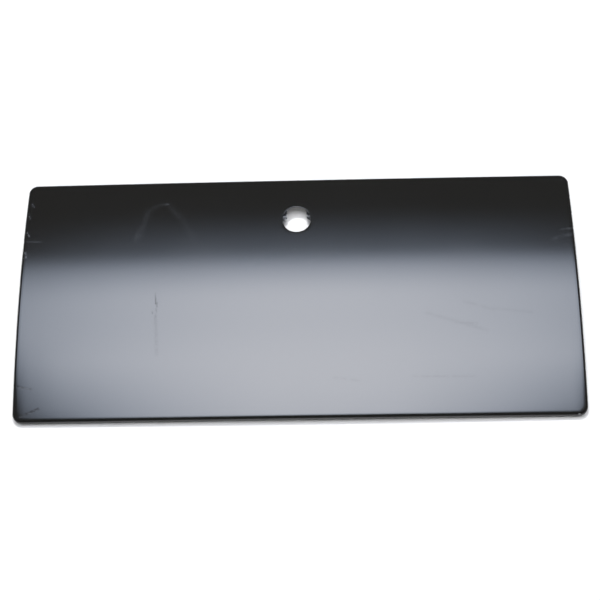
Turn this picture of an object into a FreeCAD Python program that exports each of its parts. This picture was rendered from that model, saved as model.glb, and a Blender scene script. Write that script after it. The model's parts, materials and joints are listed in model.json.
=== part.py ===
"""Kick plate: an arched, rolled-edge steel cover panel with a lock hole.

It lies on its back, with its face up. X runs along it, +Y points to the edge with the lock hole, and
z = 0 is the surface that the corners of its rim rest on. All sizes are in millimetres.
"""

import FreeCAD, Part
import math
import os

Vector = FreeCAD.Vector

# The panel
LENGTH = 368.0
WIDTH = 167.5            # straight across, from edge to edge
ARCH_RISE = 7.1          # how far the middle stands above the two long edges
CROWN_RISE = 1.1         # how far the middle stands above the two ends
RIM_DEPTH = 5.0
SHEET = 1.0
FLANGE_WIDTH = 9.0       # the flange turned in at the bottom of the rim
LOCK_CORNER_R = 6.0      # plan radius of the corners at the lock edge
HINGE_CORNER_R = 6.0     # plan radius of the corners at the hinge edge
ROLL_R = 1.8             # outer radius from the face to the rim
HEM_R = 1.0              # outer radius from the rim to the flange
RELIEF_WIDTH = 3.0       # slot that lets the flange fold at each corner

# The lock
LOCK_HOLE_R = 9.5
LOCK_Y = 52.3
FORK_SHEET = 1.2
FORK_HALF_WIDTH = 17.0
SLOT_HALF_WIDTH = 6.6
SLOT_ROOT_R = 1.5
FORK_ROOT = 12.0         # the fork's places along Y are measured from the lock's centre
FORK_BEND = 4.1
FLARE_START = 3.1
FORK_TIP = -4.0
FLARE_HALF_WIDTH = 12.0
FORK_END = 21.7
FORK_BEND_R = 0.6        # inside radius of that bend
FORK_DROOP = 27.0        # degrees that the prongs bend away from the face

# The inner frame
FRAME_SHEET = 0.8
FRAME_CLEARANCE = 0.3    # between the frame's edge and the inside of the rim
WINDOW_R = 10.0
WINDOW_Y = (-36.0, 58.0)
SIDE_WINDOW_X = (62.0, 160.0)
LOCK_WINDOW_HALF = 40.0
LOCK_WINDOW_MARGIN = 12.0    # from the lock's centre to the window's edge
LIP_TOP = 1.8            # depth of the window lips' free edge below the face
LIGHTENING_R = 10.0
LIGHTENING_X = (-62.0, 0.0, 62.0)
LIGHTENING_Y = -57.0
BEAD_RISE = 1.0
BEAD_WIDTH = 9.0
CROSS_BEAD_X = 51.0
CROSS_BEAD_Y = (-30.0, 50.0)
END_BEAD_X = 167.3
END_BEAD_Y = (-40.0, 50.0)
END_BEAD_WIDTH = 7.0
LONG_BEAD_X = (72.0, 150.0)
LONG_BEAD_Y = 66.5

# The drain slots in the hinge edge's flange
DRAIN_X = (-120.0, 0.0, 120.0)
DRAIN_LENGTH = 16.0
DRAIN_WIDTH = 3.6

# The hinge pads, plates and nuts
PAD_X = 118.0
PAD_Y = -54.0
PAD_LENGTH = 56.0
PAD_WIDTH = 22.0
PAD_CORNER_R = 5.0
PAD_BOTTOM = 1.2         # height of the pad's flat underside
PLATE_LENGTH = 50.0
PLATE_WIDTH = 16.0
PLATE_THICKNESS = 1.5
PLATE_CORNER_R = 3.0
BOLT_SPACING = 32.0
BOLT_HOLE_R = 2.75
NUT_BORE_R = 2.1
NUT_ACROSS_FLATS = 8.0
NUT_HEIGHT = 3.2
NUT_COLLAR_R = 3.5
NUT_COLLAR_HEIGHT = 0.5

# The mastic pads
MASTIC_LENGTH = 16.0
MASTIC_WIDTH = 5.0
CROSS_MASTIC_Y = (-16.0, 36.0)
END_MASTIC_Y = (-24.0, 34.0)
LONG_MASTIC_X = (90.0, 132.0)

# Worked out from the sizes above
ARCH_R = ((WIDTH / 2) ** 2 + ARCH_RISE ** 2) / (2 * ARCH_RISE)
CROWN_R = ((LENGTH / 2) ** 2 + CROWN_RISE ** 2) / (2 * CROWN_RISE)
TOP = RIM_DEPTH + ARCH_RISE + CROWN_RISE
FRAME_UNDERSIDE = RIM_DEPTH - SHEET
FRAME_TOP = FRAME_UNDERSIDE - FRAME_SHEET
FRAME_INSET = SHEET + FRAME_CLEARANCE
BELOW_ALL, ABOVE_ALL = -10.0, 30.0
OVERSIZE = 4.0


def surface_z(x, y, depth):
    """Height of the curved surface that lies a depth below the face."""
    across = math.sqrt((ARCH_R - depth) ** 2 - y ** 2) + CROWN_R - ARCH_R
    return TOP - CROWN_R + math.sqrt(across ** 2 - x ** 2)


def swept_along_crown(profile, half_length):
    """Sweep a profile in the YZ plane along the panel's gentle lengthwise curve."""
    crown_centre = Vector(0, 0, TOP - CROWN_R)
    half_angle = math.degrees(half_length / CROWN_R)
    start = profile.copy()
    start.rotate(crown_centre, Vector(0, 1, 0), -half_angle)
    return start.revolve(crown_centre, Vector(0, 1, 0), 2 * half_angle)


def arch_point(y, depth):
    """The point of the arch at the middle of the panel, at this y and depth."""
    return Vector(0, y, TOP - ARCH_R + math.sqrt((ARCH_R - depth) ** 2 - y ** 2))


def arch_edge(y_start, y_end, depth):
    middle = (y_start + y_end) / 2
    points = [arch_point(y, depth) for y in (y_start, middle, y_end)]
    return Part.Arc(*points).toShape()


def layer(outer_depth, inner_depth):
    """The curved layer of the panel between two depths below its face."""
    edge = WIDTH / 2 + OVERSIZE
    outer = arch_edge(-edge, edge, outer_depth)
    inner = arch_edge(edge, -edge, inner_depth)
    ends = [
        Part.makeLine(arch_point(edge, outer_depth), arch_point(edge, inner_depth)),
        Part.makeLine(arch_point(-edge, inner_depth), arch_point(-edge, outer_depth)),
    ]
    profile = Part.Face(Part.Wire([outer, ends[0], inner, ends[1]]))
    return swept_along_crown(profile, LENGTH / 2 + OVERSIZE)


def rounded_prism(x_span, y_span, near_r, far_r, bottom=BELOW_ALL, top=ABOVE_ALL):
    """A vertical block with round corners: near_r on its -Y side and far_r on its +Y side."""
    (x0, x1), (y0, y1) = x_span, y_span
    corners = [(x1, y0, near_r, -90), (x1, y1, far_r, 0), (x0, y1, far_r, 90), (x0, y0, near_r, 180)]
    arcs = []
    for x, y, radius, start in corners:
        centre_x = x - radius if x == x1 else x + radius
        centre_y = y - radius if y == y1 else y + radius
        centre = Vector(centre_x, centre_y, bottom)
        arcs.append(Part.makeCircle(radius, centre, Vector(0, 0, 1), start, start + 90))
    edges = []
    for arc, following in zip(arcs, arcs[1:] + arcs[:1]):
        start, end = arc.Vertexes[-1].Point, following.Vertexes[0].Point
        edges.append(arc)
        if start.distanceToPoint(end) > 1e-6:
            edges.append(Part.makeLine(start, end))
    face = Part.Face(Part.Wire(edges))
    return face.extrude(Vector(0, 0, top - bottom))


def panel_prism(inset):
    """The panel's outline, moved in by inset, as a vertical block."""
    x, y = LENGTH / 2 - inset, WIDTH / 2 - inset
    near_r = max(HINGE_CORNER_R - inset, SHEET)
    far_r = max(LOCK_CORNER_R - inset, SHEET)
    return rounded_prism((-x, x), (-y, y), near_r, far_r)


def block(centre, size, corner_r, bottom=BELOW_ALL, top=ABOVE_ALL):
    """A vertical block about a centre in plan."""
    x_span = (centre[0] - size[0] / 2, centre[0] + size[0] / 2)
    y_span = (centre[1] - size[1] / 2, centre[1] + size[1] / 2)
    return rounded_prism(x_span, y_span, corner_r, corner_r, bottom, top)


def capsule(centre, size):
    """A vertical block with half-round ends."""
    return block(centre, size, min(size) / 2)


def edges_at_depth(solid, depth):
    """The edges of a solid that lie all along on the surface at this depth."""
    found = []
    for edge in solid.Edges:
        samples = edge.discretize(3)
        gaps = [abs(p.z - surface_z(p.x, p.y, depth)) for p in samples]
        if max(gaps) < 0.01:
            found.append(edge)
    return found


def face_skin():
    """Pressed outer panel: arched face, rolled edge, rim and return flange in one sheet."""
    skin = panel_prism(0).common(layer(0, RIM_DEPTH))
    skin = skin.makeFillet(ROLL_R, edges_at_depth(skin, 0))
    skin = skin.makeFillet(HEM_R, edges_at_depth(skin, RIM_DEPTH))
    hollow = panel_prism(SHEET).common(layer(SHEET, FRAME_UNDERSIDE))
    hollow = hollow.makeFillet(ROLL_R - SHEET, edges_at_depth(hollow, SHEET))
    skin = skin.cut(hollow)

    flange_zone = layer(FRAME_UNDERSIDE - FRAME_SHEET, RIM_DEPTH + SHEET)
    skin = skin.cut(panel_prism(FLANGE_WIDTH).common(flange_zone))
    for relief in corner_reliefs() + drain_slots():
        skin = skin.cut(relief.common(flange_zone))

    normal = Vector(0, LOCK_Y, ARCH_R * math.cos(math.asin(LOCK_Y / ARCH_R)))
    normal.normalize()
    on_face = arch_point(LOCK_Y, 0)
    hole = Part.makeCylinder(LOCK_HOLE_R, 2 * OVERSIZE, on_face - normal * OVERSIZE, normal)
    return skin.cut(hole.common(layer(-OVERSIZE, 2 * SHEET)))


def corner_reliefs():
    """Diagonal slots where the return flange folds round the four corners."""
    reliefs = []
    length = FLANGE_WIDTH * 2
    for side_x in (-1, 1):
        for side_y in (-1, 1):
            corner = Vector(side_x * LENGTH / 2, side_y * WIDTH / 2, 0)
            inward = Vector(-side_x, -side_y, 0).normalize()
            centre = corner + inward * (length / 2 + HINGE_CORNER_R - SHEET)
            slot = capsule((0, 0), (length, RELIEF_WIDTH))
            slot.rotate(Vector(0, 0, 0), Vector(0, 0, 1), 45 * side_x * side_y)
            slot.translate(Vector(centre.x, centre.y, 0))
            reliefs.append(slot)
    return reliefs


def drain_slots():
    """Slots along the hinge edge, which is the lowest edge when the panel hangs in place."""
    y = -(WIDTH - FLANGE_WIDTH - SHEET) / 2
    return [capsule((x, y), (DRAIN_LENGTH, DRAIN_WIDTH)) for x in DRAIN_X]


def window_spans():
    """The spans in X and Y of the frame's three windows. The middle one clears the lock."""
    low, high = SIDE_WINDOW_X
    lock_top = LOCK_Y + LOCK_WINDOW_MARGIN
    return [
        ((-high, -low), WINDOW_Y),
        ((-LOCK_WINDOW_HALF, LOCK_WINDOW_HALF), (WINDOW_Y[0], lock_top)),
        ((low, high), WINDOW_Y),
    ]


def grown(span, amount):
    return (span[0] - amount, span[1] + amount)


def beads():
    """Centre and size of each raised bead of the frame."""
    found = []
    for side in (-1, 1):
        cross_size = (BEAD_WIDTH, CROSS_BEAD_Y[1] - CROSS_BEAD_Y[0])
        found.append(((side * CROSS_BEAD_X, sum(CROSS_BEAD_Y) / 2), cross_size))
        end_size = (END_BEAD_WIDTH, END_BEAD_Y[1] - END_BEAD_Y[0])
        found.append(((side * END_BEAD_X, sum(END_BEAD_Y) / 2), end_size))
        long_size = (LONG_BEAD_X[1] - LONG_BEAD_X[0], BEAD_WIDTH)
        found.append(((side * sum(LONG_BEAD_X) / 2, LONG_BEAD_Y), long_size))
    return found


def inner_frame():
    """Thin pressed frame that stiffens the skin and sits on its return flange."""
    frame = panel_prism(FRAME_INSET).common(layer(FRAME_TOP, FRAME_UNDERSIDE))
    lip_layer = layer(LIP_TOP, FRAME_UNDERSIDE)
    openings = []
    for x_span, y_span in window_spans():
        openings.append(rounded_prism(x_span, y_span, WINDOW_R, WINDOW_R))
        outside = WINDOW_R + FRAME_SHEET
        around = rounded_prism(grown(x_span, FRAME_SHEET), grown(y_span, FRAME_SHEET), outside, outside)
        frame = frame.fuse(around.common(lip_layer))
    for x in LIGHTENING_X:
        centre = Vector(x, LIGHTENING_Y, BELOW_ALL)
        height = ABOVE_ALL - BELOW_ALL
        openings.append(Part.makeCylinder(LIGHTENING_R, height, centre))
        frame = frame.fuse(Part.makeCylinder(LIGHTENING_R + FRAME_SHEET, height, centre).common(lip_layer))
    for opening in openings + drain_slots():
        frame = frame.cut(opening)

    bead_top = FRAME_TOP - BEAD_RISE
    for centre, size in beads():
        frame = frame.fuse(capsule(centre, size).common(layer(bead_top, FRAME_UNDERSIDE)))
        hollow_size = (size[0] - 2 * FRAME_SHEET, size[1] - 2 * FRAME_SHEET)
        hollow = layer(bead_top + FRAME_SHEET, RIM_DEPTH)
        frame = frame.cut(capsule(centre, hollow_size).common(hollow))

    below_frame = layer(FRAME_TOP, 3 * RIM_DEPTH)
    for side in (-1, 1):
        centre = (side * PAD_X, PAD_Y)
        pad = block(centre, (PAD_LENGTH, PAD_WIDTH), PAD_CORNER_R, PAD_BOTTOM)
        frame = frame.fuse(pad.common(below_frame))
        tray_size = (PAD_LENGTH - 2 * FRAME_SHEET, PAD_WIDTH - 2 * FRAME_SHEET)
        tray_r = PAD_CORNER_R - FRAME_SHEET
        frame = frame.cut(block(centre, tray_size, tray_r, PAD_BOTTOM + FRAME_SHEET))
        for hole in bolt_cylinders(side, BOLT_HOLE_R, BELOW_ALL, ABOVE_ALL):
            frame = frame.cut(hole)
    return frame.removeSplitter()


def bolt_cylinders(side, radius, bottom, top):
    """An upright cylinder at each of the two bolt places of one pad."""
    places = [side * PAD_X - BOLT_SPACING / 2, side * PAD_X + BOLT_SPACING / 2]
    return [Part.makeCylinder(radius, top - bottom, Vector(x, PAD_Y, bottom)) for x in places]


def hinge_plate(side):
    """Reinforcing plate that lies in one pad and spreads the load of the hinge bolts."""
    bottom = PAD_BOTTOM + FRAME_SHEET
    size = (PLATE_LENGTH, PLATE_WIDTH)
    plate = block((side * PAD_X, PAD_Y), size, PLATE_CORNER_R, bottom, bottom + PLATE_THICKNESS)
    for hole in bolt_cylinders(side, BOLT_HOLE_R, BELOW_ALL, ABOVE_ALL):
        plate = plate.cut(hole)
    return plate


def weld_nuts():
    """Hexagon weld nuts, two on each hinge plate."""
    bottom = PAD_BOTTOM + FRAME_SHEET + PLATE_THICKNESS
    corner_r = NUT_ACROSS_FLATS / math.sqrt(3)
    nuts = []
    for side in (-1, 1):
        for bore in bolt_cylinders(side, NUT_BORE_R, bottom, bottom + NUT_HEIGHT):
            centre = Vector(bore.CenterOfMass.x, PAD_Y, bottom)
            corners = []
            for i in range(7):
                angle = math.radians(60 * i)
                corners.append(centre + Vector(math.cos(angle), math.sin(angle), 0) * corner_r)
            body = Part.Face(Part.makePolygon(corners)).extrude(Vector(0, 0, NUT_HEIGHT - NUT_COLLAR_HEIGHT))
            body = body.fuse(Part.makeCylinder(NUT_COLLAR_R, NUT_HEIGHT, centre))
            nuts.append(body.cut(bore).removeSplitter())
    return Part.makeCompound(nuts)


def lock_fork():
    """Notched bracket behind the lock hole, with prongs bent away from the face."""
    droop = math.radians(FORK_DROOP)
    top_depth = FRAME_UNDERSIDE
    bottom_depth = top_depth + FORK_SHEET
    bend_y, end_y = LOCK_Y + FORK_BEND, LOCK_Y + FORK_END
    bend_top, bend_bottom = arch_point(bend_y, top_depth), arch_point(bend_y, bottom_depth)
    arch_slope = math.asin(bend_y / (ARCH_R - top_depth))
    run = FORK_BEND - FORK_TIP
    down = Vector(0, -math.cos(droop - arch_slope), -math.sin(droop - arch_slope)) * run
    across = Vector(0, down.z, -down.y).normalize() * -FORK_SHEET
    tip_top = bend_top + down
    tip_bottom = tip_top + across
    edges = [
        arch_edge(bend_y, end_y, top_depth),
        Part.makeLine(arch_point(end_y, top_depth), arch_point(end_y, bottom_depth)),
        arch_edge(end_y, bend_y, bottom_depth),
        Part.makeLine(bend_bottom, tip_bottom),
        Part.makeLine(tip_bottom, tip_top),
        Part.makeLine(tip_top, bend_top),
    ]
    profile = Part.Face(Part.Wire(edges))
    fork = swept_along_crown(profile, FORK_HALF_WIDTH)
    for corner, radius in ((bend_top, FORK_BEND_R + FORK_SHEET), (bend_bottom, FORK_BEND_R)):
        bend = [e for e in fork.Edges if e.CenterOfMass.distanceToPoint(corner) < FORK_SHEET / 4]
        fork = fork.makeFillet(radius, bend)

    slot_span = (-SLOT_HALF_WIDTH, SLOT_HALF_WIDTH)
    slot_y = (LOCK_Y - LOCK_HOLE_R, LOCK_Y + FORK_ROOT)
    fork = fork.cut(rounded_prism(slot_span, slot_y, SLOT_ROOT_R, SLOT_ROOT_R))
    return fork.cut(flared_mouth())


def flared_mouth():
    """The 45 degree lead-in at the open end of the fork's slot."""
    start_y = LOCK_Y + FLARE_START
    flare_y = start_y - (FLARE_HALF_WIDTH - SLOT_HALF_WIDTH)
    open_y = LOCK_Y - LOCK_HOLE_R
    outline = [
        (-SLOT_HALF_WIDTH, start_y), (SLOT_HALF_WIDTH, start_y),
        (FLARE_HALF_WIDTH, flare_y), (FLARE_HALF_WIDTH, open_y),
        (-FLARE_HALF_WIDTH, open_y), (-FLARE_HALF_WIDTH, flare_y),
    ]
    corners = [Vector(x, y, BELOW_ALL) for x, y in outline + outline[:1]]
    return Part.Face(Part.makePolygon(corners)).extrude(Vector(0, 0, ABOVE_ALL - BELOW_ALL))


def mastic_pads():
    """Soft pads that bond the frame's beads to the back of the skin."""
    gap = layer(SHEET, FRAME_TOP - BEAD_RISE)
    along_y = (MASTIC_WIDTH, MASTIC_LENGTH)
    along_x = (MASTIC_LENGTH, MASTIC_WIDTH)
    places = []
    for side in (-1, 1):
        places += [((side * CROSS_BEAD_X, y), along_y) for y in CROSS_MASTIC_Y]
        places += [((side * END_BEAD_X, y), along_y) for y in END_MASTIC_Y]
        places += [((side * x, LONG_BEAD_Y), along_x) for x in LONG_MASTIC_X]
    pads = [capsule(centre, size).common(gap).Solids[0] for centre, size in places]
    return Part.makeCompound(pads)


def main():
    pieces = {
        "face_skin": face_skin(),
        "inner_frame": inner_frame(),
        "lock_fork": lock_fork(),
        "hinge_plate_left": hinge_plate(-1),
        "hinge_plate_right": hinge_plate(1),
        "weld_nuts": weld_nuts(),
        "mastic_pads": mastic_pads(),
    }
    lift = -pieces["face_skin"].optimalBoundingBox(False).ZMin
    os.makedirs("parts", exist_ok=True)
    for name, shape in pieces.items():
        shape.translate(Vector(0, 0, lift))
        box = shape.optimalBoundingBox(False)
        solids = len(shape.Solids)
        print(f"{name}: {solids} solids, valid {shape.isValid()}, volume {shape.Volume:.1f} mm3")
        print(f"    x {box.XMin:.2f} {box.XMax:.2f}  y {box.YMin:.2f} {box.YMax:.2f}  z {box.ZMin:.3f} {box.ZMax:.3f}")
        shape.exportStep(f"parts/{name}.step")
    print(f"lift {lift:.4f}")


main()
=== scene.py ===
import json
import math

import bmesh
import bpy
from mathutils import Matrix, Vector


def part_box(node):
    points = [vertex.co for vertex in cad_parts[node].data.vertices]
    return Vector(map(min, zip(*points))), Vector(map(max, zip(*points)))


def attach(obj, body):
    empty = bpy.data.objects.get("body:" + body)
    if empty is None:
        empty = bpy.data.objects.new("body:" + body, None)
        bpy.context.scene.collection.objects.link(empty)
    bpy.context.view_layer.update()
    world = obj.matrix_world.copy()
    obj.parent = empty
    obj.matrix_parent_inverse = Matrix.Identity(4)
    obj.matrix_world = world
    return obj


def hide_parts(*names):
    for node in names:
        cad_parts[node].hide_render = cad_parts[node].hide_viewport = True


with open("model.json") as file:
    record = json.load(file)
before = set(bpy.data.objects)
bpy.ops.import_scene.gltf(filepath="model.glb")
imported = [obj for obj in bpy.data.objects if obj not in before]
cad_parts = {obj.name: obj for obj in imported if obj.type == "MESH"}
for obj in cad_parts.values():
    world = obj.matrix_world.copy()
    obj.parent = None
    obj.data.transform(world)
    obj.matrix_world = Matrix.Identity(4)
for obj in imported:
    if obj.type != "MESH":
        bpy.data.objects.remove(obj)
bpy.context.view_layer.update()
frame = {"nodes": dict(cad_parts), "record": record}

MM = 0.001
record = frame["record"]


# ---- The face skin ----
# One sheet of 1 mm steel, pressed to a shallow arch with a slight crown along it. Its edge is rolled
# down into a rim and turned in again as a flange, and a round hole for the lock is punched through it.

def new_object(name, data):
    """An object with this data, in the scene."""
    made = bpy.data.objects.new(name, data)
    bpy.context.scene.collection.objects.link(made)
    return made


def finished_mesh(name, shape):
    """The mesh of a bmesh, which is freed."""
    mesh = bpy.data.meshes.new(name)
    shape.to_mesh(mesh)
    shape.free()
    return mesh


def settle(piece):
    """Applies the piece's modifiers to its mesh."""
    bpy.context.view_layer.update()
    mesh = bpy.data.meshes.new_from_object(piece.evaluated_get(bpy.context.evaluated_depsgraph_get()))
    piece.modifiers.clear()
    piece.data = mesh


class NodeTree:
    """Adds nodes to a shader or geometry tree, wiring each input to a socket or giving it a value."""

    def __init__(self, tree):
        self.tree = tree

    def add(self, kind, inputs=None, **settings):
        made = self.tree.nodes.new(kind)
        for name, value in settings.items():
            setattr(made, name, value)
        self.feed(made, inputs or {})
        return made

    def feed(self, node, inputs):
        """Wires each of the node's inputs, by name or number, to a socket, or sets its value."""
        for key, value in inputs.items():
            if isinstance(value, bpy.types.NodeSocket):
                self.tree.links.new(value, node.inputs[key])
            else:
                node.inputs[key].default_value = value

    def math(self, operation, *values, clamp=False):
        inputs = dict(enumerate(values))
        return self.add("ShaderNodeMath", inputs, operation=operation, use_clamp=clamp).outputs[0]

    def vector(self, operation, *values, out=0):
        inputs = dict(enumerate(values))
        return self.add("ShaderNodeVectorMath", inputs, operation=operation).outputs[out]

    def split(self, vector):
        return self.add("ShaderNodeSeparateXYZ", {0: vector}).outputs

    def join(self, x, y, z=0.0):
        return self.add("ShaderNodeCombineXYZ", {0: x, 1: y, 2: z}).outputs[0]

    def ramp(self, value, low, high, start=0.0, end=1.0):
        """A smooth step from start to end as value goes from low to high."""
        inputs = {"Value": value, "From Min": low, "From Max": high, "To Min": start, "To Max": end}
        return self.add("ShaderNodeMapRange", inputs, interpolation_type="SMOOTHSTEP").outputs[0]

    def noise(self, vector, scale, detail=2.0, roughness=0.5):
        inputs = {"Vector": vector, "Scale": scale, "Detail": detail, "Roughness": roughness}
        return self.add("ShaderNodeTexNoise", inputs).outputs[0]

    def blend(self, share, first, second):
        """A colour on the way from first to second."""
        return self.add("ShaderNodeMix", {0: share, 6: first, 7: second}, data_type="RGBA").outputs[2]

    def carried(self, attribute, kind):
        """A value that the mesh's points carry."""
        return self.add("GeometryNodeInputNamedAttribute", {"Name": attribute}, data_type=kind).outputs[0]


def new_material(name):
    """A material with only its Principled shader, and the tree to build on."""
    material = bpy.data.materials.new(name)
    material.use_nodes = True
    material.node_tree.nodes.clear()
    nodes = NodeTree(material.node_tree)
    shader = nodes.add("ShaderNodeBsdfPrincipled")
    nodes.add("ShaderNodeOutputMaterial", {"Surface": shader.outputs[0]})
    return material, nodes, shader


def object_place(nodes):
    """Each point's own place in the piece, which stays with the surface."""
    return nodes.add("ShaderNodeTexCoord").outputs["Object"]


def scuff(nodes, place, start, end, width, grain):
    """How strongly one rubbed mark shows: full on the line from start to end, and broken up by grain."""
    along = [e - s for s, e in zip(start, end)]
    length_squared = sum(a * a for a in along)
    from_start = nodes.vector("SUBTRACT", place, (*start, 0))
    flat = nodes.vector("MULTIPLY", from_start, (1, 1, 0))
    reach = nodes.math("DIVIDE", nodes.vector("DOT_PRODUCT", flat, (*along, 0), out="Value"),
                       length_squared, clamp=True)
    nearest = nodes.add("ShaderNodeVectorMath", {0: (*along, 0), "Scale": reach}, operation="SCALE")
    distance = nodes.vector("DISTANCE", flat, nearest.outputs[0], out="Value")
    soft = nodes.ramp(distance, 0.0, width, 1.0, 0.0)
    return nodes.math("MULTIPLY", soft, grain)


# Scratches and rubs that have lost their gloss, in millimetres: start, end, half width and strength.
FACE_SCRATCHES = (
    ((-92.9, 0.0), (-92.4, -7.0), 0.7, 1.0),
    ((-91.6, -8.6), (-91.5, -9.4), 0.7, 1.0),
    ((-94.6, -12.6), (-94.4, -13.4), 0.7, 1.0),
    ((-91.6, -6.0), (-92.6, -19.0), 1.0, 0.35),
    ((-92.4, -16.0), (-91.0, -41.0), 2.0, 0.18),
    ((84.0, -16.5), (122.0, -28.5), 1.8, 0.13),
    ((102.0, -23.0), (116.0, -24.0), 1.2, 0.2),
    ((108.0, -9.0), (128.0, -15.0), 1.5, 0.12),
    ((127.0, -14.0), (152.0, -17.0), 1.6, 0.1),
    ((74.0, -58.0), (113.0, -58.6), 0.8, 0.2),
    ((23.0, -58.0), (40.0, -60.5), 1.0, 0.15),
    ((-180.5, -81.0), (-167.0, -75.0), 1.3, 1.0),
    ((-181.0, -60.6), (-172.0, -62.4), 1.2, 0.8),
)
# Wisps of haze, where the gloss is only dimmed.
FACE_WISPS = (
    ((-107.0, 40.0), (-102.6, 52.0), 4.2, 0.28),
    ((-103.6, 50.0), (-100.2, 61.0), 3.6, 0.30),
    ((-100.0, 62.0), (-90.0, 66.0), 3.0, 0.28),
    ((-88.4, 66.0), (-86.6, 65.4), 1.8, 0.9),
    ((-86.0, 65.0), (-79.0, 56.0), 3.6, 0.26),
    ((-78.0, 56.0), (-68.0, 38.0), 3.6, 0.14),
    ((-180.6, 68.5), (-179.0, 66.0), 1.5, 1.0),
    ((-182.2, 61.0), (-180.8, 57.5), 1.5, 1.0),
    ((-181.6, 46.5), (-180.2, 44.0), 1.5, 1.0),
    ((-181.9, 39.5), (-172.0, 39.2), 1.1, 0.45),
    ((-181.8, 31.5), (-181.0, 28.0), 1.5, 0.9),
    ((175.7, 41.4), (182.3, 41.8), 1.3, 0.5),
    ((170.0, 34.5), (181.5, 37.5), 2.4, 0.3),
    ((179.2, 79.6), (179.8, 79.2), 1.2, 1.0),
)
# Places at the rim where the paint is chipped.
FACE_CHIPS = (
    ((177.4, -83.1), (178.4, -83.0), 0.4, 0.7),
)
PAINT_COLOUR = (0.0043, 0.0040, 0.0034, 1)
WORN_COLOUR = (0.011, 0.011, 0.011, 1)
CHIP_COLOUR = (0.20, 0.20, 0.19, 1)
PAINT_IOR = 1.5
PAINT_ROUGHNESS = 0.1
HAZE_ROUGHNESS = 0.03            # the most that haze adds to the paint's own
WORN_ROUGHNESS = 0.36
SCRATCH_DULLING = 0.1
SPECK_STRENGTH = 0.35
SCRATCH_DEPTH = 0.02 * MM
ORANGE_PEEL = 0.0025 * MM


def all_scuffs(nodes, place, marks, grain):
    """The strongest of a list of marks at each point."""
    found = 0.0
    for start, end, half_width, strength in marks:
        start_m, end_m = ([c * MM for c in point] for point in (start, end))
        mark = scuff(nodes, place, start_m, end_m, half_width * MM, grain)
        found = nodes.math("MAXIMUM", found, nodes.math("MULTIPLY", mark, strength))
    return found


face_paint, paint, paint_shader = new_material("gloss black paint")
place = object_place(paint)
grain = paint.ramp(paint.noise(place, 900.0, 3.0, 0.7), 0.40, 0.58)
scratches = all_scuffs(paint, place, FACE_SCRATCHES, grain)
wispy = paint.ramp(paint.noise(place, 420.0, 4.0, 0.75), 0.34, 0.60)
wisps = all_scuffs(paint, place, FACE_WISPS, wispy)
chips = all_scuffs(paint, place, FACE_CHIPS, 1.0)
haze = paint.ramp(paint.noise(place, 14.0, 3.0), 0.35, 0.75)
specks = paint.math("MULTIPLY", paint.ramp(paint.noise(place, 1500.0, 0.0), 0.8, 0.84), SPECK_STRENGTH)
worn = paint.math("MAXIMUM", paint.math("MAXIMUM", scratches, wisps), specks)
scuffed = paint.blend(worn, PAINT_COLOUR, WORN_COLOUR)
hazy = paint.math("MULTIPLY_ADD", haze, HAZE_ROUGHNESS, PAINT_ROUGHNESS)
softened = paint.math("MULTIPLY", scratches, SCRATCH_DULLING)
dulled = paint.math("MAXIMUM", paint.math("MAXIMUM", wisps, specks), softened)
roughness = paint.add("ShaderNodeMix", {0: dulled, 2: hazy, 3: WORN_ROUGHNESS}, data_type="FLOAT")
orange_peel = paint.math("MULTIPLY", paint.noise(place, 420.0, 1.0), ORANGE_PEEL)
relief = paint.math("MULTIPLY_ADD", scratches, -SCRATCH_DEPTH, orange_peel)
bump = paint.add("ShaderNodeBump", {"Strength": 1.0, "Distance": 1.0, "Height": relief})
# A scratch reflects little: as a metal, its reflection is only as strong as its dark colour.
paint.feed(paint_shader, {
    "Base Color": paint.blend(chips, scuffed, CHIP_COLOUR), "Metallic": scratches,
    "Roughness": roughness.outputs[0], "Normal": bump.outputs[0], "IOR": PAINT_IOR,
})

# The skin's sizes, in millimetres.
ARCH_RISE = 7.1
CROWN_RISE = 1.1
SHEET = 1.0
RIM_DEPTH = 4.93
HEM_R = 1.0
FLANGE_WIDTH = 9.0
EDGE_R = 0.15                    # on both sides of the flange's free edge
HOLE_EDGE_R = 0.4
LOCK_CORNER_R = 6.0
HINGE_CORNER_R = 6.0
ROLL_R = 1.95
EDGE_SAG = 0.2                   # how far the face sinks at an edge, and from how far in
SAG_REACH = 8.0
END_SAG_Y = (0.0, -75.0)         # the two ends sink from the middle on, fully near the hinge edge
HINGE_SAG_X = (90.0, 165.0)      # the hinge edge sinks only near its corners, and less
HINGE_SAG_SHARE = 0.3
MIN_CORNER_R = 1.0
CORNER_POINTS = 12
STATION_SPACING = 2.5            # between points along the outline
FACE_ROWS, BACK_ROWS = 46, 24
ROW_EASE = 0.6                   # how much the rows crowd together at the hole and at the rim
RIM_ROWS = (0.5, 1.2)            # above the hem; in this order the wall doubles back for 0.7 mm
FLANGE_HOLD, CORNER_HOLD = 0.4, 0.3      # from a bend to the points that keep its flank flat
UNEVENNESS = 0.02 * MM
SWELLS_PER_METRE = 13.0


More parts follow.
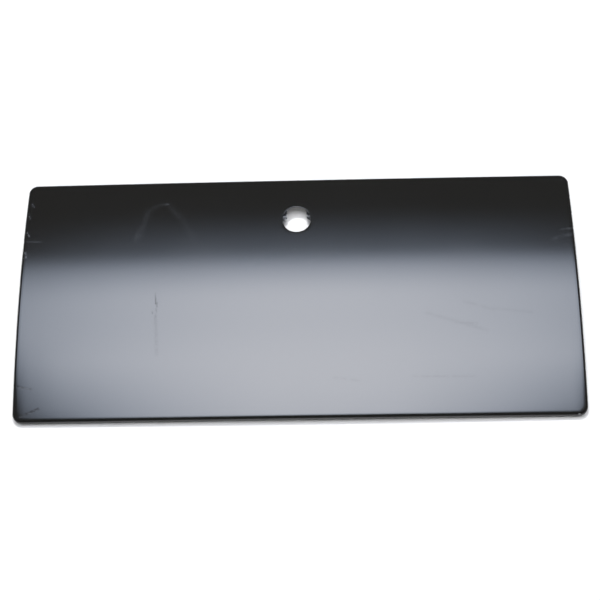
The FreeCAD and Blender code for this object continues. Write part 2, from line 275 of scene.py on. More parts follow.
def section_points():
    """The sheet's closed section, from the hole's edge to the rim and back.

    Each point is (inset, depth, hole growth) in millimetres, (roll inset, roll depth, share) and sag.
    The roll values are the parts of the roll's radius to add, share goes from the hole to the rim, and
    sag is 1 where the point follows the face as it sinks towards the edge.
    """
    points = []

    def face(depth, growth, count, outwards):
        for i in range(1, count):
            step = i / count if outwards else 1 - i / count
            share = ROW_EASE * step * step * (3 - 2 * step) + (1 - ROW_EASE) * step
            points.append(((0, depth, growth), (1, 0, share), 1))

    def turn(count, start, end, point):
        for i in range(count + 1):
            points.append(point(math.radians(start + (end - start) * i / count)))

    bottom = RIM_DEPTH
    floor = RIM_DEPTH - SHEET
    lip = FLANGE_WIDTH - EDGE_R
    turn(5, 0, 90, lambda a: (
        (0, HOLE_EDGE_R * (1 - math.sin(a)), HOLE_EDGE_R * (1 - math.cos(a))), (1, 0, 0), 1))
    face(0, HOLE_EDGE_R, FACE_ROWS, True)
    turn(10, 0, 90, lambda a: ((0, 0, 0), (1 - math.sin(a), 1 - math.cos(a), 1), 1))
    for height in RIM_ROWS:
        points.append(((0, bottom - HEM_R - height, 0), (0, 0, 1), 0))
    turn(6, 0, 90, lambda a: (
        (HEM_R * (1 - math.cos(a)), bottom - HEM_R * (1 - math.sin(a)), 0), (0, 0, 1), 0))
    points.append(((HEM_R + FLANGE_HOLD, bottom, 0), (0, 0, 1), 0))
    points.append(((lip - FLANGE_HOLD, bottom, 0), (0, 0, 1), 0))
    turn(3, 0, 90, lambda a: (
        (lip + EDGE_R * math.sin(a), bottom - EDGE_R * (1 - math.cos(a)), 0), (0, 0, 1), 0))
    turn(3, 0, 90, lambda a: (
        (lip + EDGE_R * math.cos(a), floor + EDGE_R * (1 - math.sin(a)), 0), (0, 0, 1), 0))
    points.append(((lip - FLANGE_HOLD, floor, 0), (0, 0, 1), 0))
    points.append(((SHEET + CORNER_HOLD, floor, 0), (0, 0, 1), 0))
    points.append(((SHEET, floor - CORNER_HOLD, 0), (0, 0, 1), 0))
    turn(6, 90, 0, lambda a: (
        (SHEET * math.sin(a), SHEET * math.cos(a), 0), (1 - math.sin(a), 1 - math.cos(a), 1), 1))
    face(SHEET, 0, BACK_ROWS, False)
    points.append(((0, SHEET, 0), (1, 0, 0), 1))
    return points


def section_object(name, points):
    """A closed line of edges that carries the section's values as attributes."""
    mesh = bpy.data.meshes.new(name)
    edges = [(i, (i + 1) % len(points)) for i in range(len(points))]
    spread = [(i * MM, 0, 0) for i in range(len(points))]
    mesh.from_pydata(spread, edges, [])
    for attribute, column, scale in (("place", 0, MM), ("roll", 1, 1.0)):
        values = mesh.attributes.new(attribute, "FLOAT_VECTOR", "POINT")
        for i, point in enumerate(points):
            values.data[i].vector = [v * scale for v in point[column]]
    sag = mesh.attributes.new("sag", "FLOAT", "POINT")
    for i, point in enumerate(points):
        sag.data[i].value = point[2]
    return new_object(name, mesh)


def new_geometry_tree(name, inputs):
    """A geometry tree with named inputs, given as {name: socket type}."""
    tree = bpy.data.node_groups.new(name, "GeometryNodeTree")
    tree.interface.new_socket("Geometry", in_out="OUTPUT", socket_type="NodeSocketGeometry")
    for label, kind in inputs.items():
        tree.interface.new_socket(label, in_out="INPUT", socket_type=kind)
    nodes = NodeTree(tree)
    return nodes, nodes.add("NodeGroupInput").outputs


def sagitta(nodes, radius, offset):
    """How far a circle of this radius drops at this offset from its top."""
    square = nodes.math("MULTIPLY", offset, offset)
    far_side = nodes.math("SQRT", nodes.math("SUBTRACT", nodes.math("MULTIPLY", radius, radius), square))
    return nodes.math("DIVIDE", square, nodes.math("ADD", radius, far_side))


def on_arch(nodes, given, x, y, depth):
    """Height of the pressed surface at x and y, at a depth below the face."""
    arch_radius = nodes.math("SUBTRACT", given["Arch Radius"], depth)
    drop = nodes.math("ADD", sagitta(nodes, arch_radius, y), sagitta(nodes, given["Crown Radius"], x))
    return nodes.math("SUBTRACT", nodes.math("SUBTRACT", given["Top"], depth), drop)


def rim_outline(nodes, given):
    """The panel's outline as a curve, with points close together in its corners."""
    size = {"Width": given["Length"], "Height": given["Width"]}
    oblong = nodes.add("GeometryNodeCurvePrimitiveQuadrilateral", size).outputs[0]
    corner_r = corner_radius(nodes, given, nodes.add("GeometryNodeInputPosition").outputs[0])
    fillet = {"Curve": oblong, "Radius": corner_r, "Count": CORNER_POINTS}
    rounded = nodes.add("GeometryNodeFilletCurve", fillet, mode="POLY")
    here = nodes.add("GeometryNodeInputPosition").outputs[0]
    following = nodes.add("GeometryNodeOffsetPointInCurve", {"Offset": 1}).outputs["Point Index"]
    there = nodes.add("GeometryNodeFieldAtIndex", {"Value": here, "Index": following},
                      domain="POINT", data_type="FLOAT_VECTOR").outputs[0]
    gap = nodes.vector("DISTANCE", here, there, out="Value")
    cuts = nodes.math("FLOOR", nodes.math("DIVIDE", gap, given["Spacing"]))
    return nodes.add("GeometryNodeSubdivideCurve", {"Curve": rounded.outputs[0], "Cuts": cuts}).outputs[0]


def corner_radius(nodes, given, point):
    """The corner radius on this point's side of the panel."""
    at_lock_edge = nodes.math("GREATER_THAN", nodes.split(point)[1], 0.0)
    radii = {"Switch": at_lock_edge, "False": given["Hinge Corner"], "True": given["Lock Corner"]}
    return nodes.add("GeometryNodeSwitch", radii, input_type="FLOAT").outputs[0]


def finish_tree(nodes, geometry, material):
    """Real meshes with their material, as the export needs."""
    real = nodes.add("GeometryNodeRealizeInstances", {"Geometry": geometry}).outputs[0]
    painted = nodes.add("GeometryNodeSetMaterial", {"Geometry": real, "Material": material}).outputs[0]
    nodes.add("NodeGroupOutput", {0: painted})


def edge_sag(nodes, given, distance):
    """How far the face sinks at this distance from an edge."""
    near = nodes.math("SUBTRACT", 1.0, nodes.math("DIVIDE", distance, given["Sag Reach"]), clamp=True)
    return nodes.math("MULTIPLY", given["Sag"], nodes.math("MULTIPLY", near, near))


def pressed_panel_tree():
    """Sweeps the section round the outline, and lays the result on the arched surface."""
    floats = ("Length", "Width", "Top", "Arch Radius", "Crown Radius", "Lock Corner", "Hinge Corner",
              "Least Corner", "Roll Radius", "Hole Radius", "Spacing", "Unevenness", "Sag", "Sag Reach")
    kinds = {name: "NodeSocketFloat" for name in floats}
    kinds["Hole Centre"] = "NodeSocketVector"
    kinds["Section"] = "NodeSocketObject"
    kinds["Paint"] = "NodeSocketMaterial"
    nodes, given = new_geometry_tree("pressed panel", kinds)

    outline = rim_outline(nodes, given)
    kept = nodes.add("GeometryNodeCaptureAttribute", domain="POINT")
    kept.capture_items.new("VECTOR", "Rim Point")
    nodes.tree.links.new(outline, kept.inputs["Geometry"])
    nodes.tree.links.new(nodes.add("GeometryNodeInputPosition").outputs[0], kept.inputs["Rim Point"])
    rim = kept.outputs["Rim Point"]
    section = nodes.add("GeometryNodeObjectInfo", {"Object": given["Section"]}).outputs["Geometry"]
    line = nodes.add("GeometryNodeMeshToCurve", {"Mesh": section}).outputs[0]
    swept = nodes.add("GeometryNodeCurveToMesh", {"Curve": kept.outputs["Geometry"], "Profile Curve": line})
    swept = swept.outputs[0]

    inset, depth, growth = nodes.split(nodes.carried("place", "FLOAT_VECTOR"))
    roll_inset, roll_depth, share = nodes.split(nodes.carried("roll", "FLOAT_VECTOR"))
    inset = nodes.math("MULTIPLY_ADD", roll_inset, given["Roll Radius"], inset)
    depth = nodes.math("MULTIPLY_ADD", roll_depth, given["Roll Radius"], depth)

    # The outline moved in by the inset: its straight sides shorten and its corners keep a least radius.
    corner = corner_radius(nodes, given, rim)
    half = nodes.vector("MULTIPLY", nodes.join(given["Length"], given["Width"]), (0.5, 0.5, 0.0))
    core_half = nodes.vector("SUBTRACT", half, nodes.join(corner, corner))
    core_low = nodes.vector("MULTIPLY", core_half, (-1, -1, 1))
    core = nodes.vector("MINIMUM", nodes.vector("MAXIMUM", rim, core_low), core_half)
    outward = nodes.vector("NORMALIZE", nodes.vector("SUBTRACT", rim, core))
    new_corner = nodes.math("MAXIMUM", nodes.math("SUBTRACT", corner, inset), given["Least Corner"])
    shrink = nodes.math("ADD", inset, new_corner)
    new_half = nodes.vector("SUBTRACT", half, nodes.join(shrink, shrink))
    new_core = nodes.vector("MULTIPLY", core, nodes.vector("DIVIDE", new_half, core_half))
    rounding = nodes.vector("MULTIPLY", outward, nodes.join(new_corner, new_corner, new_corner))
    on_rim = nodes.vector("ADD", new_core, rounding)

    hole = given["Hole Centre"]
    hole_flat = nodes.vector("MULTIPLY", hole, (1, 1, 0))
    spoke = nodes.vector("NORMALIZE", nodes.vector("SUBTRACT", rim, hole_flat))
    hole_r = nodes.math("ADD", given["Hole Radius"], growth)
    on_hole = nodes.vector("MULTIPLY_ADD", spoke, nodes.join(hole_r, hole_r, hole_r), hole_flat)
    way = {"Factor": share, 4: on_hole, 5: on_rim}
    flat = nodes.add("ShaderNodeMix", way, data_type="VECTOR", clamp_factor=False).outputs[1]
    x, y, _ = nodes.split(flat)

    # Near the hinge edge's corners the face sinks gently before it turns down.
    from_end = nodes.math("SUBTRACT", nodes.split(half)[0], nodes.math("ABSOLUTE", x))
    from_hinge_edge = nodes.math("ADD", nodes.split(half)[1], y)
    near_hinge_edge = nodes.ramp(y, *(c * MM for c in END_SAG_Y))
    near_corner = nodes.ramp(nodes.math("ABSOLUTE", x), *(c * MM for c in HINGE_SAG_X), 0.0, HINGE_SAG_SHARE)
    end_sag = nodes.math("MULTIPLY", edge_sag(nodes, given, from_end), near_hinge_edge)
    hinge_sag = nodes.math("MULTIPLY", edge_sag(nodes, given, from_hinge_edge), near_corner)
    sunk = nodes.math("MULTIPLY", nodes.math("ADD", end_sag, hinge_sag), nodes.carried("sag", "FLOAT"))
    depth = nodes.math("ADD", depth, sunk)

    wave = nodes.math("SUBTRACT", nodes.noise(nodes.join(x, y), SWELLS_PER_METRE, 1.0), 0.5)
    height = nodes.math("MULTIPLY_ADD", wave, given["Unevenness"], on_arch(nodes, given, x, y, depth))
    placed = nodes.add("GeometryNodeSetPosition", {"Geometry": swept, "Position": nodes.join(x, y, height)})
    smooth = nodes.add("GeometryNodeSetShadeSmooth", {"Geometry": placed.outputs[0]}).outputs[0]
    finish_tree(nodes, smooth, given["Paint"])
    return nodes.tree


def grow(name, tree, values):
    """The plain mesh object that a geometry tree makes with these values."""
    maker = new_object(name, bpy.data.meshes.new(name + " seed"))
    modifier = maker.modifiers.new("shape", "NODES")
    modifier.node_group = tree
    for item in tree.interface.items_tree:
        if item.in_out == "INPUT" and item.name in values:
            modifier[item.identifier] = values[item.name]
    settle(maker)
    return maker


skin_low, skin_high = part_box("face_skin")
length, width = skin_high.x - skin_low.x, skin_high.y - skin_low.y
lock_hole = next(m for m in record["mounts"] if m["name"] == "lock_hole")
arch_radius = ((width / 2) ** 2 + (ARCH_RISE * MM) ** 2) / (2 * ARCH_RISE * MM)
crown_radius = ((length / 2) ** 2 + (CROWN_RISE * MM) ** 2) / (2 * CROWN_RISE * MM)
panel_shape = {
    "Length": length, "Width": width, "Top": skin_high.z - UNEVENNESS / 2, "Arch Radius": arch_radius,
    "Crown Radius": crown_radius, "Lock Corner": LOCK_CORNER_R * MM, "Hinge Corner": HINGE_CORNER_R * MM,
    "Spacing": STATION_SPACING * MM,
}
section = section_object("skin section", section_points())
face_skin = grow("pressed_skin", pressed_panel_tree(), {
    **panel_shape, "Least Corner": MIN_CORNER_R * MM, "Roll Radius": ROLL_R * MM,
    "Sag": EDGE_SAG * MM, "Sag Reach": SAG_REACH * MM,
    "Hole Radius": lock_hole["dims"]["r_mm"] * MM, "Hole Centre": lock_hole["pos_m"],
    "Unevenness": UNEVENNESS, "Section": section, "Paint": face_paint,
})
bpy.data.objects.remove(section)

RELIEF_SIZE = (18.0, 3.0)
RELIEF_FROM_CORNER = 15.5
DRAIN_SIZE = (16.0, 3.6)
DRAIN_X = (-120.0, 0.0, 120.0)
DRAIN_Y = -78.75
CUT_FLOOR, CUT_TOP = -2.0, 2.9
SKIN_CREASE = math.radians(40)


def capsule_prisms(name, places, low, high):
    """Upright round-ended blocks, in millimetres: (centre x, centre y, length, width, turn)."""
    shapes = bmesh.new()
    for x, y, long_side, wide, turn in places:
        radius = wide / 2
        straight = (long_side - wide) / 2
        ring = []
        for end in (1, -1):
            for i in range(13):
                angle = math.radians(-90 + 15 * i)
                ring.append(end * Vector((straight + radius * math.cos(angle), radius * math.sin(angle))))
        spin = Matrix.Rotation(turn, 2)
        ring = [Vector((x, y)) + spin @ p for p in ring]
        lower, upper = ([shapes.verts.new((p.x * MM, p.y * MM, z * MM)) for p in ring] for z in (low, high))
        shapes.faces.new(lower[::-1])
        shapes.faces.new(upper)
        for i in range(len(ring)):
            j = (i + 1) % len(ring)
            shapes.faces.new((lower[i], lower[j], upper[j], upper[i]))
    return new_object(name, finished_mesh(name, shapes))


def cut_away(piece, cutter):
    """Takes the cutter's shape out of the piece, and removes the cutter."""
    cut = piece.modifiers.new("cut", "BOOLEAN")
    cut.operation = "DIFFERENCE"
    cut.solver = "EXACT"
    cut.object = cutter
    settle(piece)
    bpy.data.objects.remove(cutter)


half_length, half_width = length / MM / 2, width / MM / 2
step_in = RELIEF_FROM_CORNER / math.sqrt(2)
corners = [(sx, sy) for sx in (-1, 1) for sy in (-1, 1)]
reliefs = [
    (sx * (half_length - step_in), sy * (half_width - step_in), *RELIEF_SIZE, math.radians(45) * sx * sy)
    for sx, sy in corners
]
drains = [(x, DRAIN_Y, *DRAIN_SIZE, 0.0) for x in DRAIN_X]
cut_away(face_skin, capsule_prisms("flange cuts", reliefs + drains, CUT_FLOOR, CUT_TOP))
face_skin.data.set_sharp_from_angle(angle=SKIN_CREASE)
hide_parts("face_skin")
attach(face_skin, "root")


# ---- The inner frame ----
# A thin pressed frame of 0.8 mm steel, with three windows, raised beads and two flat pads. It is dipped
# in a satin black primer and held inside the skin's return flange.

PRIMER_COLOUR = (0.016, 0.016, 0.017, 1)
PRIMER_THIN_COLOUR = (0.034, 0.033, 0.032, 1)
DUST_COLOUR = (0.16, 0.15, 0.13, 1)
DUST_COVER = 0.3
PRIMER_ROUGHNESS = 0.36
THIN_ROUGHNESS, DUST_ROUGHNESS = 0.1, 0.25       # what thin primer and dust add
FINE_RELIEF = 0.03 * MM
FRAME_BEVEL = 0.1 * MM

frame_primer, primer, primer_shader = new_material("satin black primer")
place = object_place(primer)
cloudy = primer.ramp(primer.noise(place, 26.0, 4.0, 0.6), 0.3, 0.75)
settled = primer.ramp(primer.noise(place, 9.0, 5.0, 0.65), 0.45, 0.8)
dusty = primer.math("MULTIPLY", settled, primer.ramp(primer.noise(place, 1200.0, 2.0, 0.7), 0.35, 0.7))
tone = primer.blend(cloudy, PRIMER_COLOUR, PRIMER_THIN_COLOUR)
dusted = primer.blend(primer.math("MULTIPLY", dusty, DUST_COVER), tone, DUST_COLOUR)
uneven = primer.math("MULTIPLY_ADD", cloudy, THIN_ROUGHNESS, PRIMER_ROUGHNESS)
swells = primer.math("MULTIPLY", primer.noise(place, 120.0, 1.0), 0.8)
grit = primer.math("ADD", primer.noise(place, 700.0, 2.0), swells)
bump = primer.add("ShaderNodeBump", {"Strength": 0.35, "Distance": FINE_RELIEF, "Height": grit})
primer.feed(primer_shader, {
    "Base Color": dusted, "Normal": bump.outputs[0],
    "Roughness": primer.math("MULTIPLY_ADD", dusty, DUST_ROUGHNESS, uneven),
})


def merged_copy(node, name, material, bevel):
    """A smooth-shaded piece with a CAD node's shape, its sheet edges softened by a small bevel."""
    mesh = frame["nodes"][node].data.copy()
    shape = bmesh.new()
    shape.from_mesh(mesh)
    bmesh.ops.remove_doubles(shape, verts=shape.verts, dist=0.002 * MM)
    bmesh.ops.dissolve_limit(shape, angle_limit=math.radians(0.5), verts=shape.verts, edges=shape.edges)
    shape.to_mesh(mesh)
    shape.free()
    mesh.materials.clear()
    mesh.materials.append(material)
    piece = new_object(name, mesh)
    edge = piece.modifiers.new("edge", "BEVEL")
    edge.width = bevel
    edge.segments = 2
    edge.limit_method = "ANGLE"
    edge.angle_limit = math.radians(50)
    edge.use_clamp_overlap = True
    settle(piece)
    piece.data.shade_smooth()
    piece.data.set_sharp_from_angle(angle=math.radians(35))
    return piece


inner_frame = merged_copy("inner_frame", "pressed_frame", frame_primer, FRAME_BEVEL)
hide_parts("inner_frame")
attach(inner_frame, "root")


# ---- The mastic pads ----
# Soft grey mastic, squeezed out in short beads between the frame's raised ribs and the back of the
# skin. It bonds the two without marking the face, and bulges a little all round.

MASTIC_SIZE = (16.0, 5.0)
MASTIC_TOP, MASTIC_BOTTOM = 1.0, 2.2
CROSS_MASTIC = (51.0, (-16.0, 36.0))     # place along X, and places along Y
END_MASTIC = (167.3, (-24.0, 34.0))
LONG_MASTIC_X, LONG_MASTIC_Y = (90.0, 132.0), 66.5
MASTIC_ALONG_Y = [(sx * x, y) for sx in (-1, 1) for x, ys in (CROSS_MASTIC, END_MASTIC) for y in ys]
MASTIC_ALONG_X = [(sx * x, LONG_MASTIC_Y) for sx in (-1, 1) for x in LONG_MASTIC_X]
BEAD_WAIST, BEAD_BULGE = 0.84, 0.15      # of half its width, at its two faces and between them
BEAD_ROWS, BEAD_POINTS = 9, 48
MASTIC_COLOUR = (0.045, 0.045, 0.044, 1)
MASTIC_PALE_COLOUR = (0.085, 0.084, 0.08, 1)
MASTIC_ROUGHNESS, PALE_ROUGHNESS = 0.68, 0.15

mastic_material, mastic, mastic_shader = new_material("grey mastic")
place = object_place(mastic)
swells = mastic.math("MULTIPLY", mastic.noise(place, 90.0, 2.0), 1.5)
lumps = mastic.math("ADD", mastic.noise(place, 380.0, 3.0, 0.6), swells)
shade = mastic.ramp(mastic.noise(place, 150.0, 4.0, 0.7), 0.3, 0.75)
bump = mastic.add("ShaderNodeBump", {"Strength": 0.6, "Distance": 0.2 * MM, "Height": lumps})
mastic.feed(mastic_shader, {
    "Base Color": mastic.blend(shade, MASTIC_COLOUR, MASTIC_PALE_COLOUR), "Normal": bump.outputs[0],
    "Roughness": mastic.math("MULTIPLY_ADD", shade, PALE_ROUGHNESS, MASTIC_ROUGHNESS),
})


def stacked_rings(name, rings):
    """A closed mesh from rings of points, each (x, y, z) in millimetres, lowest ring first."""
    shape = bmesh.new()
    rows = [[shape.verts.new([c * MM for c in point]) for point in ring] for ring in rings]
    shape.faces.new(rows[0][::-1])
    shape.faces.new(rows[-1])
    for lower, upper in zip(rows, rows[1:]):
        for i in range(len(lower)):
            j = (i + 1) % len(lower)
            shape.faces.new((lower[i], lower[j], upper[j], upper[i]))
    mesh = finished_mesh(name, shape)
    mesh.shade_smooth()
    return new_object(name, mesh)


def mastic_bead():
    """One squeezed pad, about its middle, with its flat underside at z = 0."""
    thickness = MASTIC_BOTTOM - MASTIC_TOP
    straight = (MASTIC_SIZE[0] - MASTIC_SIZE[1]) / 2
    rings = []
    for i in range(BEAD_ROWS):
        height = i / (BEAD_ROWS - 1)
        reach = MASTIC_SIZE[1] / 2 * (BEAD_WAIST + BEAD_BULGE * math.sin(math.pi * height) ** 0.6)
        ring = []
        for k in range(BEAD_POINTS):
            angle = math.tau * k / BEAD_POINTS
            wobble = 1 + 0.02 * math.sin(3 * angle + 1) + 0.015 * math.sin(7 * angle)
            end = straight if math.cos(angle) > 0 else -straight
            x, y = (reach * wobble * turned for turned in (math.cos(angle), math.sin(angle)))
            ring.append((end + x, y, thickness * height))
        rings.append(ring)
    return stacked_rings("mastic bead", rings)


def spots_object(name, spots):
    """Loose points, with the turn about the face's normal that a copy placed there gets."""
    mesh = bpy.data.meshes.new(name)
    mesh.from_pydata([(x * MM, y * MM, 0) for x, y, _ in spots], [], [])
    turns = mesh.attributes.new("turn", "FLOAT", "POINT")
    for i, (_, _, turn) in enumerate(spots):
        turns.data[i].value = turn
    return new_object(name, mesh)


def copies_on_arch_tree():
    """Stands a copy of one small part on each spot of the arched surface, at a given depth."""
    floats = ("Top", "Arch Radius", "Crown Radius", "Depth", "Facing")
    kinds = {name: "NodeSocketFloat" for name in floats}
    kinds.update({"Spots": "NodeSocketObject", "Part": "NodeSocketObject", "Finish": "NodeSocketMaterial"})
    nodes, given = new_geometry_tree("copies on the arch", kinds)
    spots = nodes.add("GeometryNodeObjectInfo", {"Object": given["Spots"]}).outputs["Geometry"]
    x, y, _ = nodes.split(nodes.add("GeometryNodeInputPosition").outputs[0])
    height = on_arch(nodes, given, x, y, given["Depth"])
    lifted = {"Geometry": spots, "Position": nodes.join(x, y, height)}
    raised = nodes.add("GeometryNodeSetPosition", lifted).outputs[0]
    x, y, _ = nodes.split(nodes.add("GeometryNodeInputPosition").outputs[0])
    lean_x = nodes.math("DIVIDE", x, given["Crown Radius"])
    lean_y = nodes.math("DIVIDE", y, given["Arch Radius"])
    upward = nodes.join(lean_x, lean_y, 1.0)
    facing = nodes.vector("MULTIPLY", upward, nodes.join(given["Facing"], given["Facing"], given["Facing"]))
    turn = {"Axis": (0.0, 0.0, 1.0), "Angle": nodes.carried("turn", "FLOAT")}
    spun = nodes.add("FunctionNodeAxisAngleToRotation", turn).outputs[0]
    aim = {"Rotation": spun, "Vector": facing}
    stood = nodes.add("FunctionNodeAlignRotationToVector", aim, axis="Z").outputs[0]
    part = nodes.add("GeometryNodeObjectInfo", {"Object": given["Part"]}).outputs["Geometry"]
    placing = {"Points": raised, "Instance": part, "Rotation": stood}
    copies = nodes.add("GeometryNodeInstanceOnPoints", placing).outputs[0]
    finish_tree(nodes, copies, given["Finish"])
    return nodes.tree


def copies_on_arch(name, spots, part, depth, facing, material, **place):
    """One piece made of copies of a part, which stands on the arch at each spot."""
    marks = spots_object(name + " spots", spots)
    arch = {key: panel_shape[key] for key in ("Top", "Arch Radius", "Crown Radius")} | place
    made = grow(name, copies_tree, {
        **arch, "Depth": depth * MM, "Facing": facing, "Spots": marks, "Part": part, "Finish": material,
    })
    bpy.data.objects.remove(marks)
    bpy.data.objects.remove(part)
    return made


copies_tree = copies_on_arch_tree()
quarter = math.pi / 2
bead_spots = [(x, y, quarter) for x, y in MASTIC_ALONG_Y] + [(x, y, 0.0) for x, y in MASTIC_ALONG_X]
mastic_pads = copies_on_arch("mastic_beads", bead_spots, mastic_bead(), MASTIC_BOTTOM, 1.0, mastic_material)
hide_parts("mastic_pads")
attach(mastic_pads, "root")


# ---- The lock fork ----
# A notched bracket of 1.2 mm steel, spot welded to the frame behind the lock hole. Its two prongs slide
# round the lock's neck, so its semi-gloss paint is rubbed off along the insides of the slot.

BRACKET_COLOUR = (0.012, 0.012, 0.013, 1)
BRACKET_PALE_COLOUR = (0.024, 0.024, 0.024, 1)
BARE_STEEL = (0.42, 0.41, 0.39, 1)
BRACKET_IOR = 1.4
BRACKET_ROUGHNESS, MOTTLE_ROUGHNESS, STEEL_ROUGHNESS = 0.2, 0.1, 0.12
FORK_BEVEL = 0.2 * MM
# Where the lock's neck rubs one prong, in millimetres: start, end, half width and strength.
PRONG_RUBS = (
    ((6.7, 56.0), (6.7, 62.0), 0.7, 0.9),
    ((6.9, 55.2), (11.0, 51.0), 0.8, 0.8),
)

bracket_paint, bracket, bracket_shader = new_material("semi-gloss bracket paint")
place = object_place(bracket)
speckle = bracket.ramp(bracket.noise(place, 650.0, 4.0, 0.75), 0.46, 0.6)
rubs = [
    ((sx * start[0], start[1]), (sx * end[0], end[1]), half_width_of_rub, strength)
    for sx in (-1, 1) for start, end, half_width_of_rub, strength in PRONG_RUBS
]
rubbed = all_scuffs(bracket, place, rubs, speckle)
mottle = bracket.ramp(bracket.noise(place, 45.0, 3.0), 0.35, 0.7)
tone = bracket.blend(mottle, BRACKET_COLOUR, BRACKET_PALE_COLOUR)
rough = bracket.math("MULTIPLY_ADD", mottle, MOTTLE_ROUGHNESS, BRACKET_ROUGHNESS)
grit = bracket.noise(place, 520.0, 2.0)
bump = bracket.add("ShaderNodeBump", {"Strength": 0.3, "Distance": FINE_RELIEF, "Height": grit})
bracket.feed(bracket_shader, {
    "Base Color": bracket.blend(rubbed, tone, BARE_STEEL), "Metallic": rubbed, "IOR": BRACKET_IOR,
    "Roughness": bracket.math("MULTIPLY_ADD", rubbed, STEEL_ROUGHNESS, rough), "Normal": bump.outputs[0],
})

lock_fork = merged_copy("lock_fork", "notched_fork", bracket_paint, FORK_BEVEL)
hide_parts("lock_fork")
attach(lock_fork, "root")


# ---- The hinge plates ----
# Two strips of 1.5 mm steel, welded on the frame's flat pads so that the bolts don't pull through. Each
# has two bolt holes, and deburred edges.

PLATE_BEVEL = 0.25 * MM

for side in ("left", "right"):
    plate = merged_copy(f"hinge_plate_{side}", f"{side}_plate", bracket_paint, PLATE_BEVEL)
    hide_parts(f"hinge_plate_{side}")
    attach(plate, "root")


# ---- The weld nuts ----
# Four M5 hexagon weld nuts, two on each plate, with chamfered corners and a round collar that centres
# them in the plate. They are welded on before the parts are dipped in primer.

NUT_FLATS = 8.0
NUT_TOP = 3.2
NUT_COLLAR_R, NUT_COLLAR, COLLAR_TAPER = 3.5, 0.4, 0.1
NUT_FACE_R = NUT_FLATS / 2 + 0.15        # of the two flat ends, inside the chamfered corners
CHAMFER_OUT, CHAMFER_DOWN = 0.6, 0.35
THREAD_MINOR_R, THREAD_MAJOR_R, THREAD_PITCH = 2.1, 2.5, 0.8
THREAD_MOUTH_R, THREAD_START = THREAD_MAJOR_R + 0.05, 0.1
NUT_TURN = math.radians(30)
NUT_SEGMENTS = 72
NUT_CREASE = math.radians(30)
FLAT = {"Arch Radius": 1000.0, "Crown Radius": 1000.0}      # an arch of this radius, in metres, is flat


def threaded_nut():
    """A hexagon nut about its axis, with its seat at z = 0, as one closed skin of rings."""
    shoulder = NUT_TOP - NUT_COLLAR
    outline = [
        (NUT_FACE_R, 0.0), (NUT_FACE_R + CHAMFER_OUT, CHAMFER_DOWN),
        (NUT_FACE_R + CHAMFER_OUT, shoulder - CHAMFER_DOWN), (NUT_FACE_R - 0.05, shoulder),
        (NUT_COLLAR_R, shoulder), (NUT_COLLAR_R - COLLAR_TAPER, NUT_TOP), (THREAD_MOUTH_R, NUT_TOP),
    ]
    turns = round(NUT_TOP / THREAD_PITCH * 2)
    rise = (NUT_TOP - 2 * THREAD_START) / turns
    for i in range(turns + 1):
        outline.append((THREAD_MINOR_R if i % 2 else THREAD_MAJOR_R, NUT_TOP - THREAD_START - i * rise))
    outline.append((THREAD_MOUTH_R, 0.0))
    shape = bmesh.new()
    rows = []
    for radius, height in outline:
        row = []
        for k in range(NUT_SEGMENTS):
            angle = math.tau * k / NUT_SEGMENTS
            within = (angle + math.pi / 6) % (math.pi / 3) - math.pi / 6
            reach = min(radius, NUT_FLATS / 2 / math.cos(within)) * MM
            row.append(shape.verts.new((reach * math.cos(angle), reach * math.sin(angle), height * MM)))
        rows.append(row)
    for lower, upper in zip(rows, rows[1:] + rows[:1]):
        for k in range(NUT_SEGMENTS):
            j = (k + 1) % NUT_SEGMENTS
            shape.faces.new((lower[k], lower[j], upper[j], upper[k]))
    bmesh.ops.recalc_face_normals(shape, faces=shape.faces)
    return new_object("weld nut", finished_mesh("weld nut", shape))


nut_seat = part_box("weld_nuts")[0].z
nut_spots = []
for side in ("left", "right"):
    mount = next(m for m in record["mounts"] if m["name"] == f"hinge_bolts_{side}")
    x, y, _ = (c / MM for c in mount["pos_m"])
    reach = mount["dims"]["spacing_x_mm"] / 2
    nut_spots += [(x - reach, y, NUT_TURN), (x + reach, y, NUT_TURN)]
weld_nuts = copies_on_arch(
    "hexagon_weld_nuts", nut_spots, threaded_nut(), 0.0, 1.0, bracket_paint, Top=nut_seat, **FLAT)
weld_nuts.data.set_sharp_from_angle(angle=NUT_CREASE)
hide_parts("weld_nuts")
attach(weld_nuts, "root")


# ---- The spot welds ----
# The frame is spot welded into the skin's return flange, and the fork to the frame. Each weld leaves a
# shallow dished mark with a slightly raised ring, which the paint follows.

WELD_X = (20.0, 60.0, 98.0, 142.0)
WELD_END_Y = (18.0, 50.0)
WELD_INSET = 4.9
FORK_WELD_X, FORK_WELD_Y = (4.0, 12.5), 69.6
FORK_UNDERSIDE = 5.2
# The mark's radius and height, from its root in the sheet up over the ring to the dish in its middle.
WELD_PROFILE = (
    (2.3, -0.3), (2.5, -0.05), (2.45, 0.02), (2.2, 0.07),
    (1.95, 0.075), (1.6, 0.035), (1.1, 0.012), (0.5, 0.006),
)
WELD_POINTS = 32


def weld_mark():
    """One weld's mark, raised along +Z from z = 0."""
    angles = [math.tau * k / WELD_POINTS for k in range(WELD_POINTS)]
    rings = [[(r * math.cos(a), r * math.sin(a), z) for a in angles] for r, z in WELD_PROFILE]
    return stacked_rings("weld mark", rings)


long_y, end_x = half_width - WELD_INSET, half_length - WELD_INSET
weld_spots = [(sx * x, sy * long_y, 0.0) for sx, sy in corners for x in WELD_X]
weld_spots += [(sx * end_x, sy * y, 0.0) for sx, sy in corners for y in WELD_END_Y]
fork_spots = [(sx * x, FORK_WELD_Y, 0.0) for sx in (-1, 1) for x in FORK_WELD_X]
flange_welds = copies_on_arch("flange_spot_welds", weld_spots, weld_mark(), RIM_DEPTH, -1.0, face_paint)
fork_welds = copies_on_arch("fork_spot_welds", fork_spots, weld_mark(), FORK_UNDERSIDE, -1.0, bracket_paint)
for welds in (flange_welds, fork_welds):
    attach(welds, "root")


